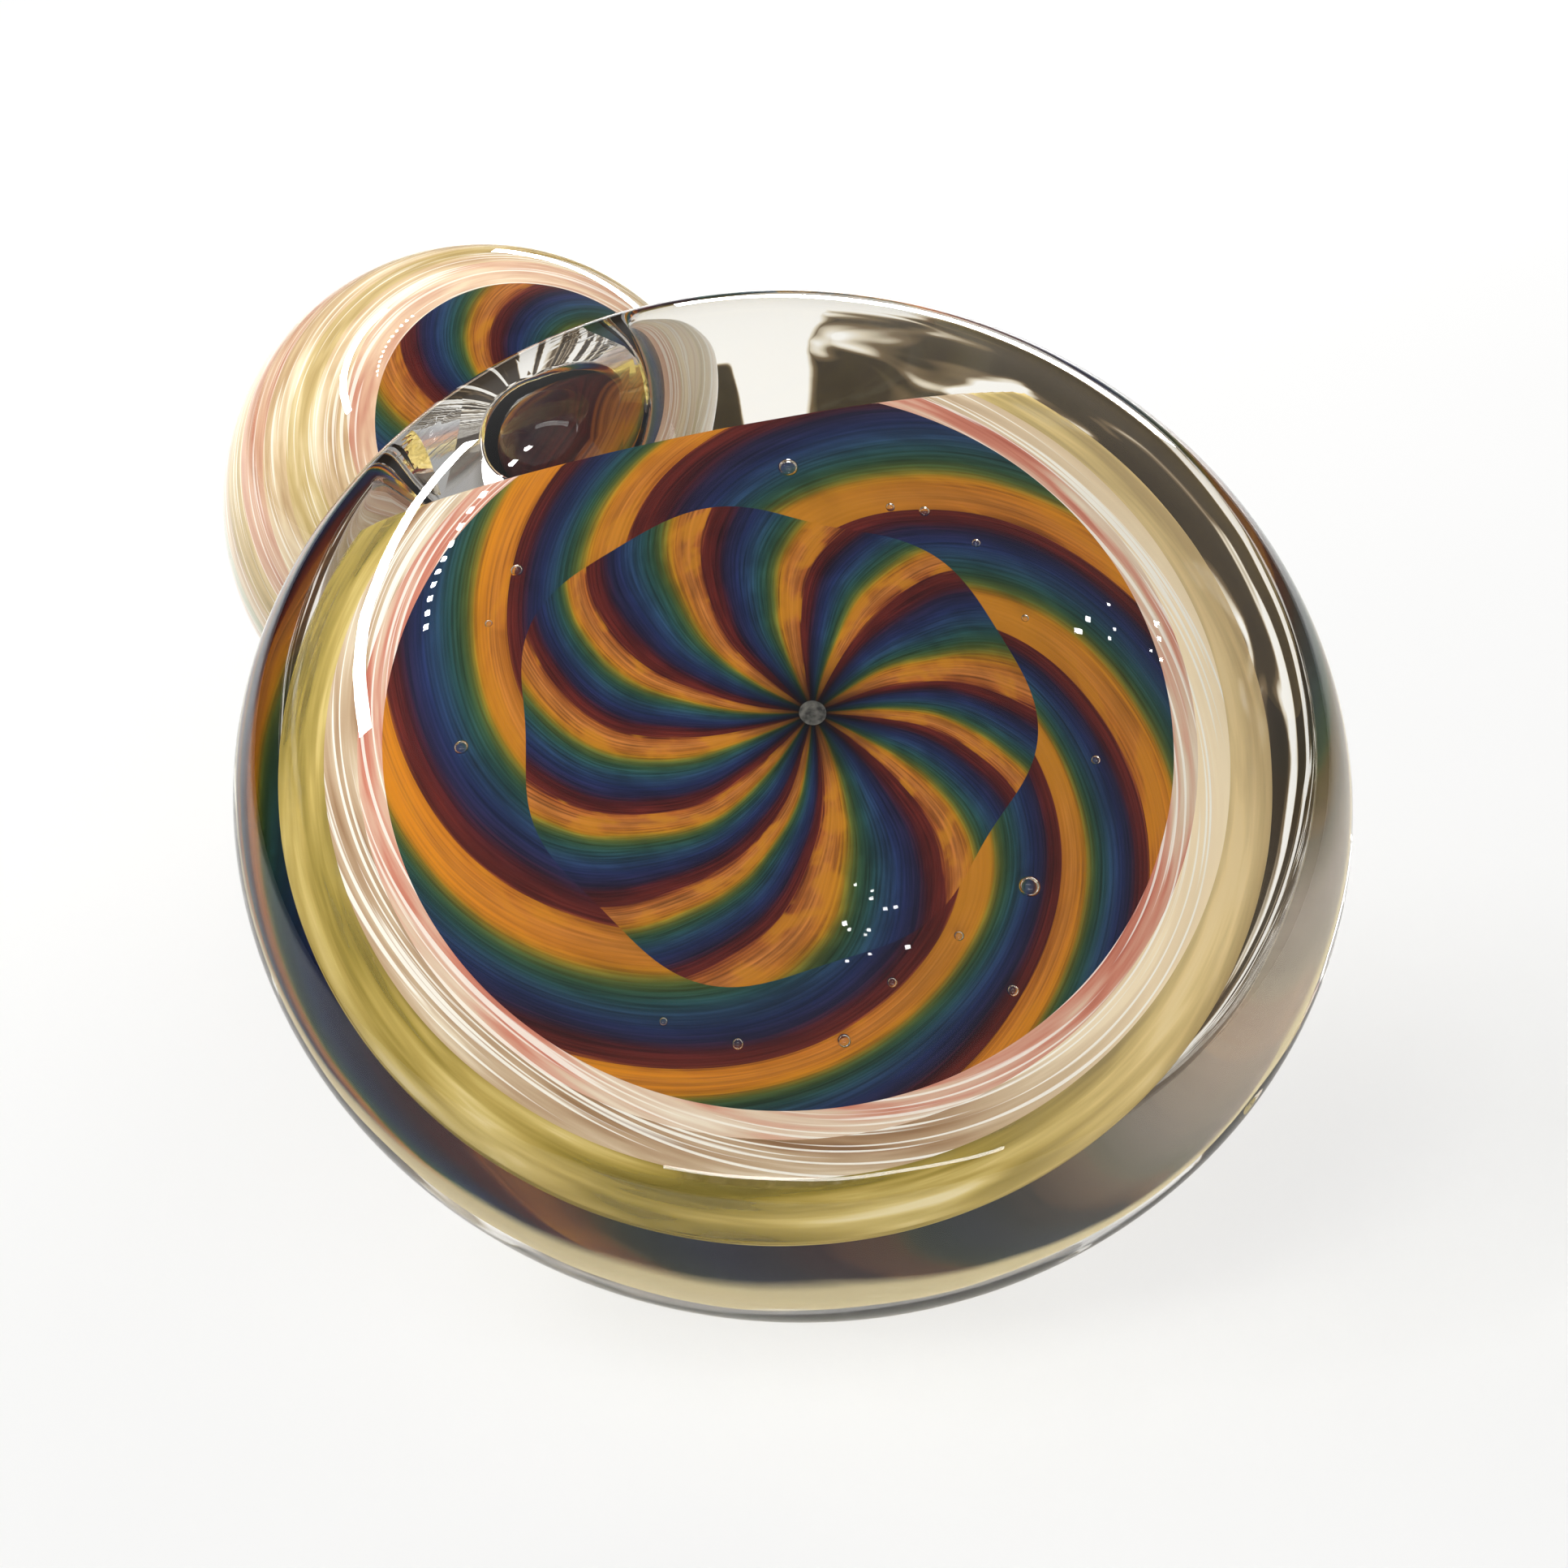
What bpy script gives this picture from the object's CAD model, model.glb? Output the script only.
import math
import random

import bmesh
import bpy
import numpy as np
from mathutils import Matrix, Vector


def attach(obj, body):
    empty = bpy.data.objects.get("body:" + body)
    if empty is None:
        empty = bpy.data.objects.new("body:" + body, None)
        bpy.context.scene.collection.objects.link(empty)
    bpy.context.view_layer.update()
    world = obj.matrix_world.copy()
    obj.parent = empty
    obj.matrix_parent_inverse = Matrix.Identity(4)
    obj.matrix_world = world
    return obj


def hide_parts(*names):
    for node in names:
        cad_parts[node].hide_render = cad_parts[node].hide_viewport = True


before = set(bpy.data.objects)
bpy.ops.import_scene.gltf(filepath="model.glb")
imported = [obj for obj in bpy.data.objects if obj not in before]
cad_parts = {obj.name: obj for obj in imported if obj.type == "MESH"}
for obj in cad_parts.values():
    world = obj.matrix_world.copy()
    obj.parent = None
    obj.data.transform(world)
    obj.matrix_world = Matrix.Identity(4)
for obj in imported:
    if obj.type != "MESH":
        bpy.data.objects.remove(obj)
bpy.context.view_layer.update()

# ------------------------------------------------------------------ the design, in millimetres

MM = 0.001
# the face lobe, a lens that leans back
FACE_RADIUS = 36.0
FACE_HALF_DEPTH = 15.2
FACE_TILT = math.radians(34.0)
FACE_TURN = math.radians(3.4)
FLAT_DEPTH = 0.15
# its coloured core: a shallow dome in front of a deeper cup, with one flat side
CORE_RADIUS = 29.5
DOME_HEIGHT = 5.8
CUP_DEPTH = 9.0
LAYER = 1.4
CORE_SHIFT = (-1.3, -0.6)
POLE = (1.85, -0.3)
SEED_RADIUS = 0.8
SWIRL_RADIUS = 23.5
PINK_RADIUS = 25.0
CREAM_RADIUS = 27.0
REVERSAL_RADIUS = 15.1
REVERSAL_CENTRE = (-0.7, -0.9)
WINDOW_REACH = 20.5
WINDOW_ANGLE = math.radians(101.0)
BACK_RADIUS = 24.0
# how far the canes wind: degrees per millimetre, and degrees per square millimetre
WINDING = {"inner": (0.0, 0.115), "outer": (3.1, 0.09), "back": (2.0, 0.08), "ball": (3.0, 0.25)}
# the ball lobe, from the face lobe's centre
BALL_RADIUS = 21.5
BALL_LEFT = 24.6
BALL_BACK = 45.2
BALL_COLOUR_RADIUS = 17.2
BALL_SEED_RADIUS = 0.6
BALL_SWIRL_ANGLE = 42.0
BALL_BAND_ANGLE = 9.2
NECK_ROOT = 22.0
NECK_WAIST = 7.0
NECK_BLEND = 3.0
SKIN_VOXEL = 0.32
GLASS_IOR = 1.47

# each bundle holds one cane of every colour; SHARES is how much of its width each one takes
COLOURS = ("orange", "green", "blue", "navy", "maroon")
SHARES = (0.27, 0.17, 0.18, 0.20, 0.18)
# angle of each bundle's orange cane, halfway out in its zone
INNER_BUNDLES = (20, 63, 95, 136, 170, 194, 224, 252, 275, 320, 353)
OUTER_BUNDLES = (7, 60, 132, 178, 234, 289, 331)
BACK_BUNDLES = (10, 52, 88, 130, 171, 207, 249, 292, 330)
BALL_BUNDLES = (0, 58, 122, 178, 243, 301)
# number of each pinwheel's first bundle, which the materials vary the streaks by
FIRST_NUMBER = {"back": 0, "inner": 11, "outer": 29, "ball": 47}
BALL_BANDS = (
    "pink", "cream", "straw", "cream", "pink", "straw", "cream", "green",
    "cream", "straw", "green", "cream", "straw", "green", "cream",
)

# streaks in the ball's bands, darkest first
BALL_PINK = ((0.0, (0.50, 0.22, 0.15)), (0.5, (0.62, 0.38, 0.26)), (1.0, (0.80, 0.62, 0.44)))
BALL_CREAM = ((0.0, (0.46, 0.30, 0.16)), (0.5, (0.66, 0.50, 0.31)), (1.0, (0.86, 0.76, 0.56)))
BALL_STRAW = ((0.0, (0.38, 0.27, 0.10)), (0.5, (0.56, 0.42, 0.19)), (1.0, (0.78, 0.66, 0.40)))
# trapped bubbles just over the dome: place from the pole, and diameter
BUBBLE_LIFT = 0.4
BUBBLES = (
    (-0.5, 17.0, 1.3), (11.9, -11.2, 1.3), (-17.3, 10.7, 0.8), (-20.7, -0.9, 0.9),
    (5.6, 14.0, 0.6), (7.7, 13.7, 0.7), (10.7, 11.4, 0.6), (10.5, -17.1, 0.7),
    (7.6, -14.0, 0.6), (-5.3, -19.7, 0.7), (0.7, -19.8, 0.8), (3.6, -16.6, 0.6),
    (-19.0, 7.2, 0.5), (13.2, 6.1, 0.5), (-9.4, -18.2, 0.5), (16.6, -3.2, 0.6),
)

# how high the centre of the leaning lens stands, and how far behind the flat it rests on
support = math.hypot(
    FACE_RADIUS * math.sin(FACE_TILT), FACE_HALF_DEPTH * math.cos(FACE_TILT)
)
ahead = (
    (FACE_RADIUS ** 2 - FACE_HALF_DEPTH ** 2)
    * math.sin(FACE_TILT)
    * math.cos(FACE_TILT)
    / support
)
FACE_AXES = Matrix.Rotation(FACE_TURN, 3, "Z") @ Matrix.Rotation(FACE_TILT, 3, "X")
FACE_CENTRE = Matrix.Rotation(FACE_TURN, 3, "Z") @ Vector((0, ahead, support - FLAT_DEPTH))
BALL_CENTRE = Vector(
    (FACE_CENTRE.x - BALL_LEFT, FACE_CENTRE.y + BALL_BACK, BALL_RADIUS - FLAT_DEPTH)
)
BALL_AXES = Vector((0.36, -0.63, 0.69)).to_track_quat("Z", "Y").to_matrix()

CORE_CENTRE = FACE_CENTRE + FACE_AXES @ Vector((*CORE_SHIFT, 0.0))
TO_FACE = (np.array(FACE_AXES), np.array(FACE_CENTRE))
TO_CORE = (np.array(FACE_AXES), np.array(CORE_CENTRE))
TO_BALL = (np.array(BALL_AXES), np.array(BALL_CENTRE))


# --------------------------------------------------------------------------- mesh helpers


def make_piece(name, points, faces, place=None, material=None, smooth=True):
    """A mesh piece from points in millimetres, in a lobe's own axes or in the row frame."""
    points = np.asarray(points, dtype=float)
    if place is not None:
        axes, centre = place
        points = points @ axes.T + centre
    mesh = bpy.data.meshes.new(name)
    mesh.from_pydata((points * MM).tolist(), [], faces)
    mesh.update()
    if smooth:
        mesh.polygons.foreach_set("use_smooth", [True] * len(mesh.polygons))
        mesh.set_sharp_from_angle(angle=math.radians(40))
    piece = bpy.data.objects.new(name, mesh)
    bpy.context.scene.collection.objects.link(piece)
    if material is not None:
        mesh.materials.append(material)
    return piece


def set_lay(piece, lay):
    """Where each point lies in the glass's own flow, for the streaks in the materials."""
    attribute = piece.data.attributes.new("lay", "FLOAT_VECTOR", "POINT")
    attribute.data.foreach_set("vector", np.asarray(lay, dtype=float).ravel())


def as_node(piece, node):
    """Register a piece that stands for one CAD node."""
    piece.name = f"{node}_glass"
    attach(piece, "root")
    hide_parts(node)
    return piece


def grid_faces(rows, columns, start=0, wrap=False, flip=False):
    """Quads over a rows x columns grid of points."""
    faces = []
    last = columns if wrap else columns - 1
    for i in range(rows - 1):
        for j in range(last):
            k = (j + 1) % columns
            quad = [
                start + i * columns + j,
                start + i * columns + k,
                start + (i + 1) * columns + k,
                start + (i + 1) * columns + j,
            ]
            faces.append(quad[::-1] if flip else quad)
    return faces


# ------------------------------------------------------------------------------- materials


def set_stops(node, stops):
    """Fill a colour ramp node with (position, colour) stops."""
    elements = node.color_ramp.elements
    while len(elements) < len(stops):
        elements.new(0.5)
    for element, (position, colour) in zip(elements, stops):
        element.position = position
        element.color = (*colour, 1)


class Tree:
    """Short names for building a material's nodes; most return an output socket."""

    def __init__(self, name):
        self.material = bpy.data.materials.new(name)
        self.material.use_nodes = True
        self.nodes = self.material.node_tree.nodes
        self.links = self.material.node_tree.links
        self.shader = self.nodes["Principled BSDF"]

    def put(self, socket, value):
        """Set a socket, or link it when the value is another node's output."""
        if isinstance(value, bpy.types.NodeSocket):
            self.links.new(value, socket)
        else:
            socket.default_value = value

    def math(self, operation, *values):
        node = self.nodes.new("ShaderNodeMath")
        node.operation = operation
        for socket, value in zip(node.inputs, values):
            self.put(socket, value)
        return node.outputs[0]

    def attribute(self, name):
        node = self.nodes.new("ShaderNodeAttribute")
        node.attribute_name = name
        return node.outputs["Vector"]

    def split(self, vector):
        node = self.nodes.new("ShaderNodeSeparateXYZ")
        self.put(node.inputs[0], vector)
        return node.outputs

    def scaled(self, vector, factors):
        node = self.nodes.new("ShaderNodeVectorMath")
        node.operation = "MULTIPLY"
        self.put(node.inputs[0], vector)
        self.put(node.inputs[1], factors)
        return node.outputs[0]

    def noise(self, vector, scale=1.0, detail=3.0, distortion=0.0):
        node = self.nodes.new("ShaderNodeTexNoise")
        self.put(node.inputs["Vector"], vector)
        node.inputs["Scale"].default_value = scale
        node.inputs["Detail"].default_value = detail
        node.inputs["Distortion"].default_value = distortion
        return node.outputs["Fac"]

    def ramp(self, factor, stops):
        """Colour ramp from (position, colour) stops."""
        node = self.nodes.new("ShaderNodeValToRGB")
        set_stops(node, stops)
        self.put(node.inputs[0], factor)
        return node.outputs[0]

    def range(self, value, low, high, to_low, to_high):
        node = self.nodes.new("ShaderNodeMapRange")
        for socket, number in zip(node.inputs, (value, low, high, to_low, to_high)):
            self.put(socket, number)
        return node.outputs[0]

    def mix(self, factor, first, second, mode="MIX"):
        node = self.nodes.new("ShaderNodeMix")
        node.data_type = "RGBA"
        node.blend_type = mode
        self.put(node.inputs[0], factor)
        self.put(node.inputs[6], first)
        self.put(node.inputs[7], second)
        return node.outputs[2]

    def finish(self, colour=None, alpha=None, roughness=0.5, specular=0.2, bump=None):
        """Connect the principled shader; bump is (height, strength, distance)."""
        if colour is not None:
            self.put(self.shader.inputs["Base Color"], colour)
        if alpha is not None:
            self.put(self.shader.inputs["Alpha"], alpha)
        self.put(self.shader.inputs["Roughness"], roughness)
        self.shader.inputs["Specular IOR Level"].default_value = specular
        if bump is not None:
            node = self.nodes.new("ShaderNodeBump")
            self.put(node.inputs["Height"], bump[0])
            node.inputs["Strength"].default_value = bump[1]
            node.inputs["Distance"].default_value = bump[2]
            self.links.new(node.outputs[0], self.shader.inputs["Normal"])
        return self.material


def clear_glass():
    """Clear glass with a hand-worked, slightly wavy skin; lamps shine through it."""
    tree = Tree("clear_glass")
    tree.shader.inputs["Base Color"].default_value = (0.985, 0.985, 0.965, 1)
    tree.shader.inputs["Roughness"].default_value = 0.0
    tree.shader.inputs["IOR"].default_value = GLASS_IOR
    tree.shader.inputs["Transmission Weight"].default_value = 1.0
    wave = tree.noise(tree.attribute("position"), scale=85.0, detail=1.0)
    bump = tree.nodes.new("ShaderNodeBump")
    tree.put(bump.inputs["Height"], wave)
    bump.inputs["Strength"].default_value = 1.0
    bump.inputs["Distance"].default_value = 0.00012
    tree.put(tree.shader.inputs["Normal"], bump.outputs[0])
    path = tree.nodes.new("ShaderNodeLightPath")
    through = tree.nodes.new("ShaderNodeBsdfTransparent")
    through.inputs[0].default_value = (0.84, 0.84, 0.80, 1)
    mix = tree.nodes.new("ShaderNodeMixShader")
    tree.put(mix.inputs[0], path.outputs["Is Shadow Ray"])
    tree.put(mix.inputs[1], tree.shader.outputs[0])
    tree.put(mix.inputs[2], through.outputs[0])
    tree.put(tree.nodes["Material Output"].inputs["Surface"], mix.outputs[0])
    return tree.material


# colours across one bundle of canes, from the orange's crisp edge round to the maroon
CANE_STOPS = (
    (0.000, (0.17, 0.036, 0.010)),
    (0.040, (0.32, 0.092, 0.016)),
    (0.120, (0.40, 0.140, 0.028)),
    (0.215, (0.37, 0.124, 0.014)),
    (0.265, (0.33, 0.142, 0.006)),
    (0.300, (0.200, 0.145, 0.012)),
    (0.345, (0.068, 0.092, 0.018)),
    (0.400, (0.022, 0.058, 0.026)),
    (0.480, (0.014, 0.052, 0.056)),
    (0.580, (0.014, 0.038, 0.085)),
    (0.680, (0.010, 0.018, 0.068)),
    (0.790, (0.013, 0.009, 0.032)),
    (0.860, (0.045, 0.006, 0.009)),
    (0.930, (0.085, 0.010, 0.007)),
    (0.988, (0.080, 0.010, 0.007)),
    (1.000, (0.17, 0.036, 0.010)),
)
# the back of the core, once round its pinwheel: how thickly fume veils it, and its colour
VEIL_STOPS = (
    (0.00, 0.92), (0.10, 0.88), (0.24, 0.80), (0.34, 0.0), (0.62, 0.0), (0.70, 0.82), (1.0, 0.93)
)
VEIL_COLOURS = (
    (0.00, (0.60, 0.51, 0.42)),
    (0.08, (0.54, 0.47, 0.39)),
    (0.13, (0.09, 0.13, 0.09)),
    (0.22, (0.050, 0.034, 0.024)),
    (0.60, (0.020, 0.018, 0.030)),
    (0.78, (0.045, 0.042, 0.048)),
    (0.89, (0.085, 0.095, 0.085)),
    (0.96, (0.46, 0.40, 0.33)),
    (1.00, (0.60, 0.51, 0.42)),
)


def cane_glass(name, veiled=False):
    """Rainbow canes: colour from the place across the bundle, drawn out into streaks.

    veiled is for the back of the core, where silver fume lies over the canes.
    """
    tree = Tree(name)
    lay = tree.attribute("lay")
    across, radius, bundle = tree.split(lay)
    wander = tree.noise(tree.scaled(lay, (1.8, 0.22, 7.3)), detail=2.0)
    fine = tree.noise(tree.scaled(lay, (52.0, 0.24, 5.1)), detail=4.0, distortion=0.2)
    moved = tree.math("MULTIPLY_ADD", tree.math("SUBTRACT", wander, 0.5), 0.10, across)
    moved = tree.math("MULTIPLY_ADD", tree.math("SUBTRACT", fine, 0.5), 0.075, moved)
    rainbow = tree.ramp(tree.math("FRACT", tree.math("ADD", moved, 1.0)), CANE_STOPS)
    threads = tree.range(fine, 0.30, 0.72, 0.50, 1.45)
    clouds = tree.noise(tree.scaled(lay, (4.0, 0.5, 3.7)), detail=3.0)
    patches = tree.range(clouds, 0.3, 0.7, 0.75, 1.25)
    colour = tree.mix(1.0, rainbow, tree.math("MULTIPLY", threads, patches), "MULTIPLY")
    # only the outer pinwheel's bundles are numbered 29 to 35
    past_inner = tree.range(bundle, 28.0, 29.0, 0.0, 1.0)
    before_ball = tree.range(bundle, 40.0, 41.0, 1.0, 0.0)
    outer_zone = tree.math("MULTIPLY", past_inner, before_ball)
    tips = tree.math("MULTIPLY", tree.range(radius, 19.5, 14.5, 0.0, 0.8), outer_zone)
    amber = tree.math("MAXIMUM", tree.range(clouds, 0.50, 0.62, 0.0, 0.7), tips)
    orange_part = tree.range(across, 0.30, 0.24, 0.0, 1.0)
    warm = tree.math("MULTIPLY", amber, orange_part)
    colour = tree.mix(warm, colour, (0.45, 0.180, 0.010, 1))
    # the orange turns vivid towards the rim, where the canes are widest
    rim = tree.math("MULTIPLY", tree.range(radius, 16.5, 23.5, 0.0, 1.0), outer_zone)
    vivid = tree.math("MULTIPLY", rim, tree.range(fine, 0.30, 0.60, 0.25, 0.80))
    colour = tree.mix(tree.math("MULTIPLY", vivid, orange_part), colour, (0.62, 0.215, 0.006, 1))
    pull = tree.range(radius, 0.8, 5.0, 0.04, 1.0)
    colour = tree.mix(1.0, colour, pull, "MULTIPLY")
    if veiled:
        turn = tree.math("DIVIDE", tree.math("ADD", across, bundle), float(len(BACK_BUNDLES)))
        veil = tree.ramp(turn, [(at, (v, v, v)) for at, v in VEIL_STOPS])
        strength = tree.math("MULTIPLY", veil, tree.range(fine, 0.3, 0.6, 0.85, 1.0))
        colour = tree.mix(1.0, colour, (1.6, 1.6, 1.6, 1), "MULTIPLY")
        colour = tree.mix(strength, colour, tree.ramp(turn, VEIL_COLOURS))
        wide = tree.math("ADD", radius, tree.range(turn, 0.76, 0.88, 0.0, 4.0))
        middle = tree.range(wide, 14.2, 12.2, 0.0, 0.95)
        colour = tree.mix(middle, colour, (0.95, 0.82, 0.50, 1))
    return tree.finish(colour, roughness=1.0, specular=0.0)


def streaky_glass(name, stops, turns, fineness, alpha=None, side=None, lines=0.0):
    """Opal or fumed glass drawn out round the core.

    stops colour the streaks, alpha gives how thin and how thick the film gets, side is the
    colour it takes on towards +X, and lines is the strength of fine white threads in it.
    """
    tree = Tree(name)
    lay = tree.attribute("lay")
    broad = tree.noise(tree.scaled(lay, (turns, turns, fineness * 0.3)), detail=2.0)
    fine = tree.noise(
        tree.scaled(lay, (turns * 1.5, turns * 1.5, fineness)), detail=3.0, distortion=0.25
    )
    blend = tree.math("MULTIPLY_ADD", broad, 0.5, tree.math("MULTIPLY", fine, 0.5))
    spread = tree.range(blend, 0.36, 0.64, 0.0, 1.0)
    colour = tree.ramp(spread, stops)
    if side is not None:
        towards = tree.range(tree.split(lay)[0], 1.0, 2.9, 0.0, 0.85)
        colour = tree.mix(towards, colour, (*side, 1))
    if lines:
        thread = tree.noise(tree.scaled(lay, (0.35, 0.35, fineness * 3.0)), detail=1.0)
        white = tree.math("MULTIPLY", tree.range(thread, 0.56, 0.62, 0.0, 1.0), lines)
        colour = tree.mix(white, colour, (0.98, 0.96, 0.90, 1))
    clear = None if alpha is None else tree.range(blend, 0.38, 0.60, alpha[0], alpha[1])
    return tree.finish(colour, clear, roughness=0.9, specular=0.0)


def fume_glass():
    """Straw-yellow, silver-fumed glass of the cup."""
    stops = (
        (0.0, (0.27, 0.210, 0.045)),
        (0.3, (0.43, 0.325, 0.070)),
        (0.6, (0.56, 0.420, 0.120)),
        (0.8, (0.66, 0.52, 0.19)),
        (1.0, (0.80, 0.69, 0.40)),
    )
    return streaky_glass(
        "straw_fume_glass", stops, 0.42, 0.8, alpha=(0.5, 0.97), side=(0.86, 0.66, 0.36)
    )


def cream_glass():
    """Cream opal glass of the wider lining band."""
    stops = (
        (0.0, (0.26, 0.145, 0.075)),
        (0.25, (0.37, 0.230, 0.130)),
        (0.5, (0.47, 0.325, 0.205)),
        (0.75, (0.57, 0.43, 0.29)),
        (1.0, (0.76, 0.65, 0.49)),
    )
    return streaky_glass("cream_glass", stops, 0.5, 1.6, side=(1.0, 0.84, 0.58), lines=0.85)


def pink_glass():
    """Pale pink opal glass of the lining band next to the pinwheel."""
    stops = (
        (0.0, (0.44, 0.12, 0.08)),
        (0.3, (0.58, 0.22, 0.15)),
        (0.5, (0.66, 0.38, 0.28)),
        (0.7, (0.70, 0.53, 0.39)),
        (1.0, (0.82, 0.72, 0.58)),
    )
    return streaky_glass("pink_glass", stops, 0.45, 1.4, lines=0.7)


def pale_green_glass():
    """Pale green opal glass of the ball's bands."""
    stops = (
        (0.0, (0.27, 0.31, 0.19)),
        (0.4, (0.42, 0.45, 0.30)),
        (0.7, (0.60, 0.58, 0.40)),
        (1.0, (0.80, 0.73, 0.54)),
    )
    return streaky_glass("pale_green_glass", stops, 0.5, 1.2, lines=0.5)


def ball_glass(name, stops):
    """Thin opal threads wound round the ball."""
    return streaky_glass(name, stops, 0.5, 0.75, lines=0.6)


def seed_glass():
    """The dull, silvery knot where the canes were pinched off."""
    tree = Tree("seed_glass")
    grain = tree.noise(tree.attribute("position"), scale=2500.0, detail=4.0)
    colour = tree.ramp(grain, ((0.35, (0.01, 0.01, 0.01)), (0.7, (0.13, 0.125, 0.11))))
    return tree.finish(colour, roughness=0.4, specular=0.3, bump=(grain, 0.4, 0.0001))


def bubble_glass():
    """Skin of an air bubble inside the glass: light leaves glass for air through it."""
    tree = Tree("bubble_skin")
    tree.shader.inputs["Base Color"].default_value = (1, 1, 1, 1)
    tree.shader.inputs["Roughness"].default_value = 0.0
    tree.shader.inputs["IOR"].default_value = 1 / GLASS_IOR
    tree.shader.inputs["Transmission Weight"].default_value = 1.0
    return tree.material


# ----------------------------------------------------------------- the clear glass envelope


def soft_union(a, b, width):
    """The nearer of two distances, flowed together over a width."""
    blend = np.clip(0.5 + 0.5 * (b - a) / width, 0.0, 1.0)
    return b * (1 - blend) + a * blend - width * blend * (1 - blend)


def envelope_distance(points):
    """Signed distance, in millimetres, to the two lobes and the neck flowed into one."""
    axes, centre = TO_FACE
    local = (points - centre) @ axes
    radii = np.array([FACE_RADIUS, FACE_RADIUS, FACE_HALF_DEPTH])
    near = np.linalg.norm(local / radii, axis=1)
    steep = np.linalg.norm(local / radii ** 2, axis=1) + 1e-9
    face = near * (near - 1) / steep
    ball = np.linalg.norm(points - TO_BALL[1], axis=1) - BALL_RADIUS
    outward = (TO_BALL[1] - centre) @ axes
    outward[2] = 0
    root = centre + axes @ (outward / np.linalg.norm(outward) * NECK_ROOT)
    bar = TO_BALL[1] - root
    share = np.clip((points - root) @ bar / (bar @ bar), 0, 1)
    neck = np.linalg.norm(points - root - share[:, None] * bar, axis=1) - NECK_WAIST
    return soft_union(soft_union(face, neck, NECK_BLEND), ball, NECK_BLEND)


def envelope_gradient(points):
    """Slope of the envelope's distance at each point, by central differences."""
    step = 0.01
    gradient = np.empty_like(points)
    for axis in range(3):
        shift = np.zeros(3)
        shift[axis] = step
        rise = envelope_distance(points + shift) - envelope_distance(points - shift)
        gradient[:, axis] = rise / (2 * step)
    return gradient


def envelope(material):
    """One closed skin of clear glass over both lobes, with two flats ground under it."""
    blank = bmesh.new()
    for (axes, centre), radii in (
        (TO_FACE, (FACE_RADIUS, FACE_RADIUS, FACE_HALF_DEPTH)),
        (TO_BALL, (BALL_RADIUS,) * 3),
    ):
        place = Matrix.LocRotScale(Vector(centre), Matrix(axes.tolist()), Vector(radii))
        bmesh.ops.create_icosphere(blank, subdivisions=6, radius=1.0, matrix=place)
    middle = (FACE_CENTRE + BALL_CENTRE) / 2
    bridge = (BALL_CENTRE - FACE_CENTRE).to_track_quat("Z", "Y").to_matrix().to_4x4()
    bmesh.ops.create_cone(
        blank,
        cap_ends=True,
        segments=48,
        radius1=NECK_WAIST,
        radius2=NECK_WAIST,
        depth=(BALL_CENTRE - FACE_CENTRE).length * 0.6,
        matrix=Matrix.Translation(middle) @ bridge,
    )
    mesh = bpy.data.meshes.new("blank")
    blank.to_mesh(mesh)
    blank.free()
    skin = bpy.data.objects.new("blank", mesh)
    bpy.context.scene.collection.objects.link(skin)
    remesh = skin.modifiers.new("remesh", "REMESH")
    remesh.mode = "VOXEL"
    remesh.voxel_size = SKIN_VOXEL
    graph = bpy.context.evaluated_depsgraph_get()
    rough = skin.evaluated_get(graph).to_mesh()
    points = np.empty(len(rough.vertices) * 3)
    rough.vertices.foreach_get("co", points)
    points = points.reshape(-1, 3)
    faces = [list(p.vertices) for p in rough.polygons]
    bpy.data.objects.remove(skin)
    for _ in range(6):
        slope = envelope_gradient(points)
        size = (slope ** 2).sum(axis=1, keepdims=True)
        points = points - envelope_distance(points)[:, None] * slope / size
    normals = envelope_gradient(points)
    normals /= np.linalg.norm(normals, axis=1, keepdims=True)
    ground = points[:, 2] < 0
    points[ground, 2] = 0.0
    normals[ground] = (0, 0, -1)
    piece = make_piece("glass_envelope", points, faces, None, material)
    piece.data.normals_split_custom_set_from_vertices(normals.tolist())
    return piece


# ---------------------------------------------------------------------------- coloured core


def dome(radius, drop=0.0):
    """Height of the core's front, drop millimetres under its surface."""
    share = np.clip(radius / (CORE_RADIUS - drop), 0, 1)
    return (DOME_HEIGHT - drop) * np.sqrt(1 - share ** 2)


def cup(radius, drop=0.0):
    """Height of the core's back, drop millimetres inside its surface."""
    share = np.clip(radius / (CORE_RADIUS - drop), 0, 1)
    return -(CUP_DEPTH - drop) * np.sqrt(1 - share ** 2)


def trim(x, y):
    """Points pulled back to the core's flat, cold-worked side."""
    across = (math.cos(WINDOW_ANGLE), math.sin(WINDOW_ANGLE))
    reach = x * across[0] + y * across[1]
    share = np.where(reach > WINDOW_REACH, WINDOW_REACH / np.maximum(reach, 1e-6), 1.0)
    return x * share, y * share


def ring_lay(angles, along):
    """Flow coordinates that close on themselves round a ring."""
    along = np.broadcast_to(along, angles.shape)
    return np.c_[3 * np.cos(angles), 3 * np.sin(angles), along]


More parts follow.
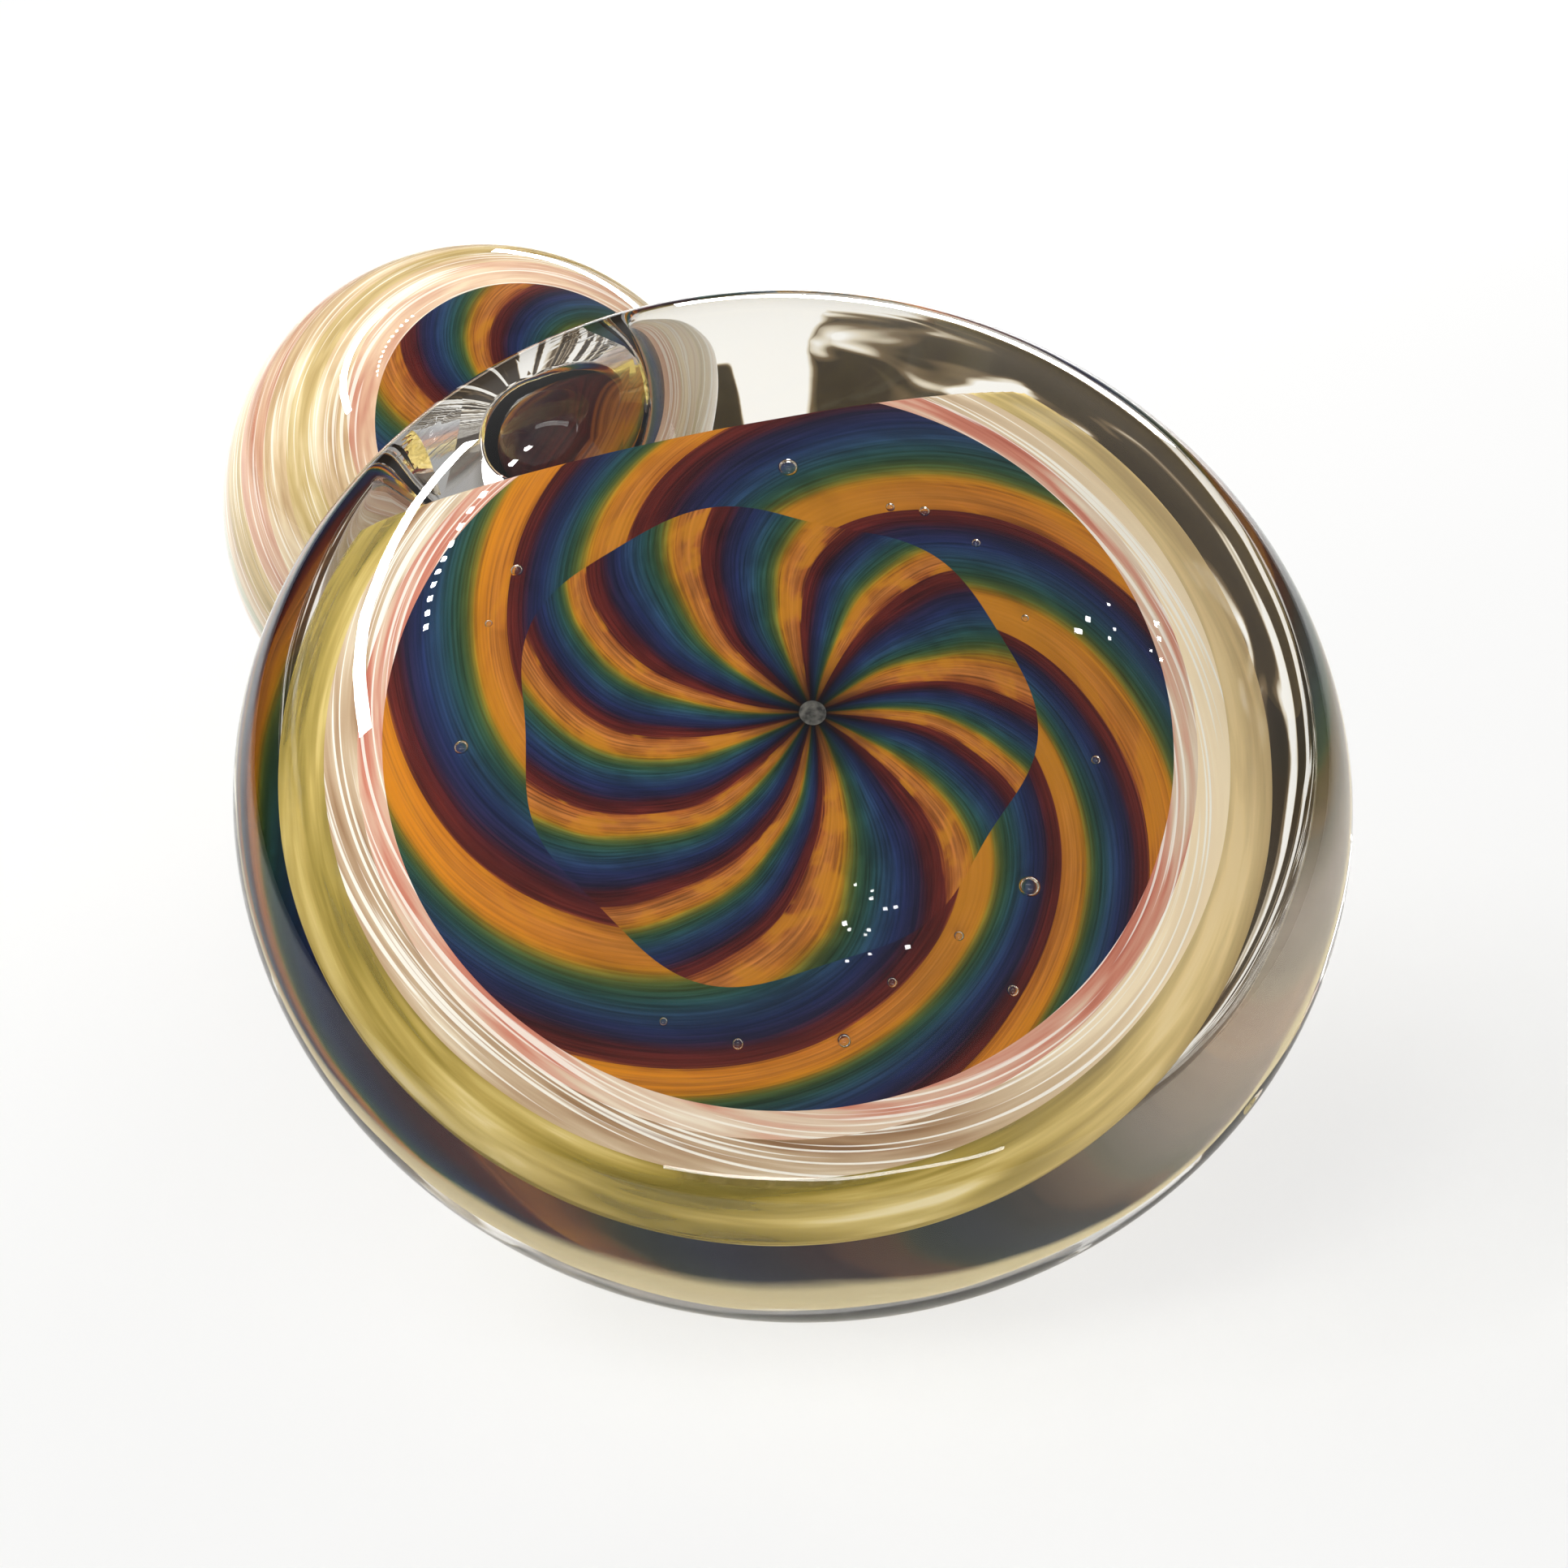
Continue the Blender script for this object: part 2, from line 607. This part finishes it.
def shell_ring(inner, outer, material, steps=360, cells=14):
    """Closed ring of the dome layer between two radii."""
    angles = np.arange(steps) * (2 * math.pi / steps)
    sheets, lay = [], []
    for drop in (0.0, LAYER):
        for cell in range(cells + 1):
            radius = inner + (outer - inner) * cell / cells
            x, y = trim(radius * np.cos(angles), radius * np.sin(angles))
            sheets.append(np.c_[x, y, dome(np.hypot(x, y)) - drop])
            lay.append(ring_lay(angles, radius + 1.5 * np.sin(angles * 2)))
    rows = cells + 1
    faces = grid_faces(rows, steps, 0, wrap=True)
    faces += grid_faces(rows, steps, rows * steps, wrap=True, flip=True)
    for row in (0, rows - 1):
        for j in range(steps):
            k = (j + 1) % steps
            top, under = row * steps, (rows + row) * steps
            side = [top + j, under + j, under + k, top + k]
            faces.append(side if row == 0 else side[::-1])
    piece = make_piece("ring", np.concatenate(sheets), faces, TO_CORE, material)
    set_lay(piece, np.concatenate(lay))
    return piece


def straw_cup(material, steps=360, cells=40):
    """Thin cup of fumed glass: the brim of the dome, and the wall behind it."""
    angles = np.arange(steps) * (2 * math.pi / steps)
    wall = math.acos(BACK_RADIUS / CORE_RADIUS)
    outside = [(CORE_RADIUS * s, dome) for s in np.linspace(CREAM_RADIUS / CORE_RADIUS, 1, 10)]
    outside += [(CORE_RADIUS * math.cos(a), cup) for a in np.linspace(0, wall, cells)[1:]]
    profile = [(radius, surface, 0.0) for radius, surface in outside]
    profile += [(radius, surface, LAYER) for radius, surface in reversed(outside)]
    sheets, lay = [], []
    for place, (radius, surface, drop) in enumerate(profile):
        ring = min(radius, CORE_RADIUS - drop)
        x, y = trim(ring * np.cos(angles), ring * np.sin(angles))
        height = surface(np.full(steps, ring), drop)
        sheets.append(np.c_[x, y, height])
        reach = place if place < len(outside) else len(profile) - 1 - place
        lay.append(ring_lay(angles, 0.45 * reach + 1.2 * np.sin(angles)))
    faces = grid_faces(len(profile), steps, 0, wrap=True)
    last = (len(profile) - 1) * steps
    for j in range(steps):
        k = (j + 1) % steps
        faces.append([last + j, last + k, k, j])
    piece = make_piece("cup", np.concatenate(sheets), faces, TO_CORE, material)
    set_lay(piece, np.concatenate(lay))
    return piece


def wound(start, winding, mid_radius, radius):
    """Angle of a cane's edge at a radius, from its angle halfway out."""
    twist, bend = WINDING[winding]
    turn = twist * (radius - mid_radius) + bend * (radius ** 2 - mid_radius ** 2)
    wander = 0.022 * np.sin(0.35 * radius + 3 * start) + 0.006 * np.sin(radius - 5 * start)
    return start - np.radians(turn) + wander * np.minimum(1.0, radius / 6)


def ring_limit(start, winding, mid_radius, centre, ring_radius, wobble=0.0):
    """Radius from the pole at which a spiral edge meets a ring, by bisection."""
    low = np.zeros_like(start)
    high = np.full_like(start, CORE_RADIUS)
    for _ in range(30):
        middle = (low + high) / 2
        angle = wound(start, winding, mid_radius, middle)
        x = POLE[0] + middle * np.cos(angle) - centre[0]
        y = POLE[1] + middle * np.sin(angle) - centre[1]
        round_ring = np.arctan2(y, x)
        wave = 0.6 * np.sin(3 * round_ring + 0.8) + 0.4 * np.sin(7 * round_ring + 2.0)
        inside = np.hypot(x, y) < ring_radius + wobble * wave
        low = np.where(inside, middle, low)
        high = np.where(inside, high, middle)
    return (low + high) / 2


def cane_solid(low, high, edge, surface, along, across):
    """Points and faces of one closed cane.

    low and high are radii across the cane's width; edge gives the angles at those radii,
    and surface turns radii and angles into outer and inner points.
    """
    sheets = []
    for depth in (0.0, LAYER):
        for row in range(along):
            radius = low + (high - low) * row / (along - 1)
            sheets.append(surface(radius, edge(radius), depth))
    count = along * across
    faces = grid_faces(along, across)
    faces += grid_faces(along, across, count, flip=True)
    for j in range(across - 1):
        end = (along - 1) * across
        faces.append([j, count + j, count + j + 1, j + 1])
        faces.append([end + j + 1, end + count + j + 1, end + count + j, end + j])
    for i in range(along - 1):
        a, b = i * across, (i + 1) * across
        faces.append([b, b + count, a + count, a])
        a, b = a + across - 1, b + across - 1
        faces.append([a, a + count, b + count, b])
    return np.concatenate(sheets), faces


def pinwheel(zone, bundles, mid_radius, limits, surface, place, material, flip=False):
    """All canes of one pinwheel zone, one piece for each colour.

    limits gives the lowest and highest radius for an array of edge angles.
    """
    along, across = 48, 10
    lead = 360 / len(bundles) * SHARES[0] / 2
    for colour_index, colour in enumerate(COLOURS):
        points, faces, lay = [], [], []
        first = sum(SHARES[:colour_index])
        for index, centre in enumerate(bundles):
            width = (bundles[(index + 1) % len(bundles)] - centre) % 360
            shares = first + SHARES[colour_index] * np.linspace(0, 1, across)
            start = np.radians(centre + width * shares - lead)
            low, high = limits(start)
            cane_points, cane_faces = cane_solid(
                low,
                high,
                lambda radius: wound(start, zone, mid_radius, radius),
                surface,
                along,
                across,
            )
            base = len(points) * 2 * along * across
            faces += [[base + corner for corner in face] for face in cane_faces]
            points.append(cane_points)
            radii = [low + (high - low) * row / (along - 1) for row in range(along)]
            flow = np.c_[
                np.tile(shares, 2 * along),
                np.tile(np.concatenate(radii), 2),
                np.full(2 * along * across, index + FIRST_NUMBER[zone]),
            ]
            lay.append(flow)
        if flip:
            faces = [face[::-1] for face in faces]
        piece = make_piece(colour, np.concatenate(points), faces, place, material)
        set_lay(piece, np.concatenate(lay))
        as_node(piece, f"{zone}_{colour}_canes")


def on_dome(radius, angle, depth):
    """Points of the front coloured layer, at a radius and an angle about the pole."""
    x, y = trim(POLE[0] + radius * np.cos(angle), POLE[1] + radius * np.sin(angle))
    return np.c_[x, y, dome(np.hypot(x, y)) - depth]


def on_back(radius, angle, depth):
    """Points of the back coloured layer, at a radius and an angle about the pole."""
    x, y = trim(POLE[0] + radius * np.cos(angle), POLE[1] + radius * np.sin(angle))
    return np.c_[x, y, cup(np.hypot(x, y)) + depth]


def face_pinwheels(material, veiled):
    """The inner, outer and back pinwheels of the face lobe."""
    reversal = (REVERSAL_CENTRE, REVERSAL_RADIUS, 1.0)

    def inner_limits(start):
        outermost = ring_limit(start, "inner", inner_middle, *reversal)
        return np.full_like(start, SEED_RADIUS), outermost

    def outer_limits(start):
        innermost = ring_limit(start, "outer", outer_middle, *reversal)
        return innermost, ring_limit(start, "outer", outer_middle, (0.0, 0.0), SWIRL_RADIUS)

    def back_limits(start):
        outermost = ring_limit(start, "back", back_middle, (0.0, 0.0), BACK_RADIUS)
        return np.full_like(start, SEED_RADIUS), outermost

    inner_middle = REVERSAL_RADIUS / 2
    outer_middle = (REVERSAL_RADIUS + SWIRL_RADIUS) / 2 - 2
    back_middle = SWIRL_RADIUS / 2
    wheel = (on_dome, TO_CORE, material)
    pinwheel("inner", INNER_BUNDLES, inner_middle, inner_limits, *wheel)
    pinwheel("outer", OUTER_BUNDLES, outer_middle, outer_limits, *wheel)
    pinwheel("back", BACK_BUNDLES, back_middle, back_limits, on_back, TO_CORE, veiled, True)


# -------------------------------------------------------------------------------- the ball


def on_ball(radius, angle, depth):
    """Points of the ball's coloured layer; radius is the distance from its axis."""
    polar = np.arcsin(np.clip(radius / BALL_COLOUR_RADIUS, 0, 1))
    size = BALL_COLOUR_RADIUS - depth
    return np.c_[
        size * np.sin(polar) * np.cos(angle),
        size * np.sin(polar) * np.sin(angle),
        size * np.cos(polar),
    ]


def ball_pinwheel(material):
    """The pinwheel on the side of the ball that faces the reader."""
    cap_radius = BALL_COLOUR_RADIUS * math.sin(math.radians(BALL_SWIRL_ANGLE))

    def limits(start):
        return np.full_like(start, BALL_SEED_RADIUS), np.full_like(start, cap_radius)

    pinwheel("ball", BALL_BUNDLES, cap_radius / 2, limits, on_ball, TO_BALL, material)


def band_edge(index, angles):
    """Polar angle of the line between two bands; hand-drawn, so it wanders a little."""
    if index == 0:
        return np.full_like(angles, BALL_SWIRL_ANGLE)
    wave = 2.2 * np.sin(angles + 0.9 * index) + 1.1 * np.sin(2 * angles - 1.7 * index)
    edge = BALL_SWIRL_ANGLE + index * BALL_BAND_ANGLE + wave
    return np.clip(edge, BALL_SWIRL_ANGLE, 180.0)


def ball_bands(materials, steps=240, cells=8):
    """Bands of opal glass round the ball, one piece for each colour."""
    angles = np.arange(steps) * (2 * math.pi / steps)
    groups = {colour: ([], [], []) for colour in dict.fromkeys(BALL_BANDS)}
    for index, colour in enumerate(BALL_BANDS):
        low, high = band_edge(index, angles), band_edge(index + 1, angles)
        if index == len(BALL_BANDS) - 1:
            high = np.full_like(angles, 179.9)
        points, faces, lay = groups[colour]
        rows = cells + 1
        base = len(points) * steps
        for size in (BALL_COLOUR_RADIUS, BALL_COLOUR_RADIUS - LAYER):
            for cell in range(rows):
                polar = np.radians(low + (high - low) * cell / cells)
                points.append(
                    np.c_[
                        size * np.sin(polar) * np.cos(angles),
                        size * np.sin(polar) * np.sin(angles),
                        size * np.cos(polar),
                    ]
                )
                along = np.degrees(polar) * 0.45 + 0.8 * np.sin(angles + index)
                lay.append(ring_lay(angles, along))
        faces += grid_faces(rows, steps, base, wrap=True)
        faces += grid_faces(rows, steps, base + rows * steps, wrap=True, flip=True)
        for row in (0, rows - 1):
            for j in range(steps):
                k = (j + 1) % steps
                top, under = base + row * steps, base + (rows + row) * steps
                side = [top + j, under + j, under + k, top + k]
                faces.append(side if row == 0 else side[::-1])
    for colour, (points, faces, lay) in groups.items():
        material, slot = materials[colour]
        piece = make_piece(colour, np.concatenate(points), faces, TO_BALL, material)
        set_lay(piece, np.concatenate(lay))
        as_node(piece, f"ball_{colour}_bands")


# -------------------------------------------------------------------------------- the build

skin = envelope(clear_glass())
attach(skin, "root")
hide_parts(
    "face_front_casing", "face_back_casing", "ball_casing", "clear_neck",
    "clear_heart", "ball_heart",
)
canes = cane_glass("cane_glass")
straw, cream, pink = fume_glass(), cream_glass(), pink_glass()
face_pinwheels(canes, cane_glass("veiled_cane_glass", veiled=True))
as_node(shell_ring(SWIRL_RADIUS, PINK_RADIUS, pink), "pink_lining_band")
as_node(shell_ring(PINK_RADIUS, CREAM_RADIUS, cream), "cream_lining_band")
as_node(straw_cup(straw), "straw_fume_cup")
ball_pinwheel(canes)
ball_bands(
    {
        "pink": (ball_glass("ball_pink_glass", BALL_PINK), "pink_glass"),
        "cream": (ball_glass("ball_cream_glass", BALL_CREAM), "cream_glass"),
        "straw": (ball_glass("ball_straw_glass", BALL_STRAW), "straw_fume"),
        "green": (pale_green_glass(), "pale_green_glass"),
    }
)

def bubbles(material):
    """All trapped bubbles as one piece, each a little flattened."""
    balls = bmesh.new()
    for x, y, across in BUBBLES:
        x, y = x + POLE[0], y + POLE[1]
        height = float(dome(np.hypot(x, y))) + across / 2 + BUBBLE_LIFT
        place = Matrix.Translation((x, y, height)) @ Matrix.Diagonal((1, 1, 0.8, 1))
        bmesh.ops.create_icosphere(balls, subdivisions=3, radius=across / 2, matrix=place)
    balls.verts.index_update()
    points = [tuple(corner.co) for corner in balls.verts]
    faces = [[corner.index for corner in face.verts] for face in balls.faces]
    balls.free()
    piece = make_piece("bubbles", points, faces, TO_CORE, material)
    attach(piece, "root")


bubbles(bubble_glass())
seed = seed_glass()
for name in ("pole_seed", "back_seed", "ball_seed"):
    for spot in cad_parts[name].material_slots:
        spot.material = seed

# ------------------------------------------------------------------------------ the studio


def floor_material():
    """Pale board; what the glass bends into view under it is a brown bench with bright gaps."""
    tree = Tree("studio_floor")
    place = tree.attribute("position")
    mottle = tree.noise(place, scale=9.0, detail=3.0)
    tree.put(
        tree.shader.inputs["Base Color"],
        tree.ramp(mottle, ((0.3, (0.86, 0.86, 0.85)), (0.7, (0.90, 0.90, 0.895)))),
    )
    tree.shader.inputs["Roughness"].default_value = 0.7
    tree.shader.inputs["Specular IOR Level"].default_value = 0.1
    path = tree.nodes.new("ShaderNodeLightPath")
    lit = tree.nodes.new("ShaderNodeEmission")
    lit.inputs[0].default_value = (0.95, 0.95, 0.945, 1)
    pale = tree.nodes.new("ShaderNodeMixShader")
    across, back, _ = tree.split(place)
    squared = tree.math("MULTIPLY_ADD", across, across, tree.math("MULTIPLY", back, back))
    share = tree.range(tree.math("SQRT", squared), 0.15, 0.60, 0.65, 1.0)
    tree.put(pale.inputs[0], tree.math("MULTIPLY", path.outputs["Is Camera Ray"], share))
    tree.put(pale.inputs[1], tree.shader.outputs[0])
    tree.put(pale.inputs[2], lit.outputs[0])
    stretched = tree.scaled(place, (1.6, 1.0, 1.0))
    gaps = tree.noise(stretched, scale=110.0, detail=2.0, distortion=1.2)
    # a bright gap just left of the middle of the bench, and solid wood just right of it
    shifted = tree.math("MULTIPLY_ADD", tree.math("SUBTRACT", gaps, 0.5), 0.004, across)
    left = tree.math("ABSOLUTE", tree.math("ADD", shifted, 0.0024))
    right = tree.math("ABSOLUTE", tree.math("SUBTRACT", shifted, 0.0026))
    gaps = tree.math("ADD", gaps, tree.range(left, 0.0013, 0.0021, 0.25, 0.0))
    gaps = tree.math("ADD", gaps, tree.range(right, 0.0018, 0.0028, -0.12, 0.0))
    bench = tree.nodes.new("ShaderNodeEmission")
    tree.put(
        bench.inputs[0],
        tree.ramp(
            gaps,
            (
                (0.00, (0.012, 0.008, 0.005)),
                (0.46, (0.035, 0.024, 0.014)),
                (0.51, (0.16, 0.11, 0.06)),
                (0.54, (0.70, 0.62, 0.48)),
                (0.57, (1.00, 0.98, 0.94)),
            ),
        ),
    )
    seen = tree.nodes.new("ShaderNodeMixShader")
    tree.put(seen.inputs[0], path.outputs["Is Transmission Ray"])
    tree.put(seen.inputs[1], pale.outputs[0])
    tree.put(seen.inputs[2], bench.outputs[0])
    tree.put(tree.nodes["Material Output"].inputs["Surface"], seen.outputs[0])
    tree.material.cycles.emission_sampling = "NONE"
    return tree.material


FLOOR_REACH = 3000.0
FLOOR_DROP = 0.1
floor = make_piece(
    "studio_floor",
    [(FLOOR_REACH * x, FLOOR_REACH * y, -FLOOR_DROP) for x, y in ((-1, -1), (1, -1), (1, 1), (-1, 1))],
    [[0, 1, 2, 3]],
    None,
    floor_material(),
    smooth=False,
)


def studio_world():
    """A pale surround to look at; dim walls under a bright ceiling to light the glass."""
    world = bpy.data.worlds.new("studio")
    bpy.context.scene.world = world
    world.use_nodes = True
    nodes, links = world.node_tree.nodes, world.node_tree.links
    background = nodes["Background"]
    where = nodes.new("ShaderNodeTexCoord")
    parts = nodes.new("ShaderNodeSeparateXYZ")
    links.new(where.outputs["Generated"], parts.inputs[0])
    ramp = nodes.new("ShaderNodeValToRGB")
    stops = (
        (0.00, (0.06, 0.045, 0.035)),
        (0.20, (0.12, 0.10, 0.08)),
        (0.40, (0.42, 0.40, 0.38)),
        (0.65, (0.40, 0.40, 0.40)),
        (1.00, (0.30, 0.30, 0.31)),
    )
    set_stops(ramp, stops)
    links.new(parts.outputs["Z"], ramp.inputs[0])
    path = nodes.new("ShaderNodeLightPath")
    pale = nodes.new("ShaderNodeMix")
    pale.data_type = "RGBA"
    links.new(path.outputs["Is Camera Ray"], pale.inputs[0])
    links.new(ramp.outputs[0], pale.inputs[6])
    pale.inputs[7].default_value = (0.93, 0.93, 0.93, 1)
    links.new(pale.outputs[2], background.inputs[0])
    background.inputs[1].default_value = 1.0


studio_world()


def lamp(name, direction, distance, size, power):
    """Soft lamp that faces the object; direction is (azimuth from +Y to +X, elevation)."""
    azimuth, elevation = (math.radians(angle) for angle in direction)
    outward = Vector(
        (
            math.sin(azimuth) * math.cos(elevation),
            math.cos(azimuth) * math.cos(elevation),
            math.sin(elevation),
        )
    )
    side = Vector((0, 0, 1)).cross(outward).normalized()
    turn = Matrix((side, outward.cross(side), outward)).transposed().to_4x4()
    light = bpy.data.lights.new(name, "AREA")
    light.shape = "RECTANGLE"
    light.size, light.size_y = size
    light.energy = power
    holder = bpy.data.objects.new(name, light)
    holder.visible_camera = False
    holder.matrix_world = Matrix.Translation(FACE_CENTRE * MM + outward * distance) @ turn
    bpy.context.scene.collection.objects.link(holder)
    return holder


# a long bent strip at the left and back draws the bright line down the left of the face
for step in range(5):
    lamp(f"left_strip_{step}", (-45 - 10 * step, 39), 0.5, (0.088, 0.022), 0.36)
# the broad front light only lights the colours; the thin one draws the line at the bottom
lamp("front_light", (176, 12), 0.7, (0.90, 0.20), 2.1).visible_glossy = False
lamp("front_strip", (172, 6), 0.7, (0.60, 0.012), 0.30)
lamp("back_strip", (12, 11), 0.6, (0.40, 0.05), 2.4)
# a row of bulbs draws the dotted line on the left of the face
for step in range(13):
    lamp(f"bulb_{step}", (-40 - 3.3 * step, 51), 0.5, (0.007, 0.007), 0.018)
# two clusters of tiny lamps, for the broken sparkle on the right and below the middle
random.seed(4)
for cluster, (azimuth, elevation) in {"right": (79, 53), "middle": (162, 50)}.items():
    for step in range(12):
        place = (azimuth + random.uniform(-5, 5), elevation + random.uniform(-7, 7))
        side = random.uniform(0.003, 0.007)
        lamp(f"{cluster}_spark_{step}", place, 0.6, (side, side), 90 * side ** 2)

# the camera, and the place on the face lobe that it looks at
CAMERA_AZIMUTH = math.radians(-0.7)
CAMERA_ELEVATION = math.radians(30.2)
CAMERA_DISTANCE = 148.1
CAMERA_FOV = math.radians(37.9)
CAMERA_AIM = (-0.8, -1.38)
towards = Vector(
    (
        math.sin(CAMERA_AZIMUTH) * math.cos(CAMERA_ELEVATION),
        -math.cos(CAMERA_AZIMUTH) * math.cos(CAMERA_ELEVATION),
        math.sin(CAMERA_ELEVATION),
    )
)
across = Vector((math.cos(CAMERA_AZIMUTH), math.sin(CAMERA_AZIMUTH), 0))
upward = towards.cross(across)
target = FACE_CENTRE + CAMERA_AIM[0] * across + CAMERA_AIM[1] * upward
eye = FACE_CENTRE + CAMERA_DISTANCE * towards
camera_data = bpy.data.cameras.new("camera")
camera = bpy.data.objects.new("camera", camera_data)
bpy.context.scene.collection.objects.link(camera)
camera.location = eye * MM
camera.rotation_euler = (target - eye).to_track_quat("-Z", "Y").to_euler()
camera_data.angle = CAMERA_FOV
camera_data.clip_start = 0.001
scene = bpy.context.scene
scene.camera = camera
scene.view_settings.view_transform = "Standard"
scene.cycles.max_bounces = 24
scene.cycles.transmission_bounces = 20
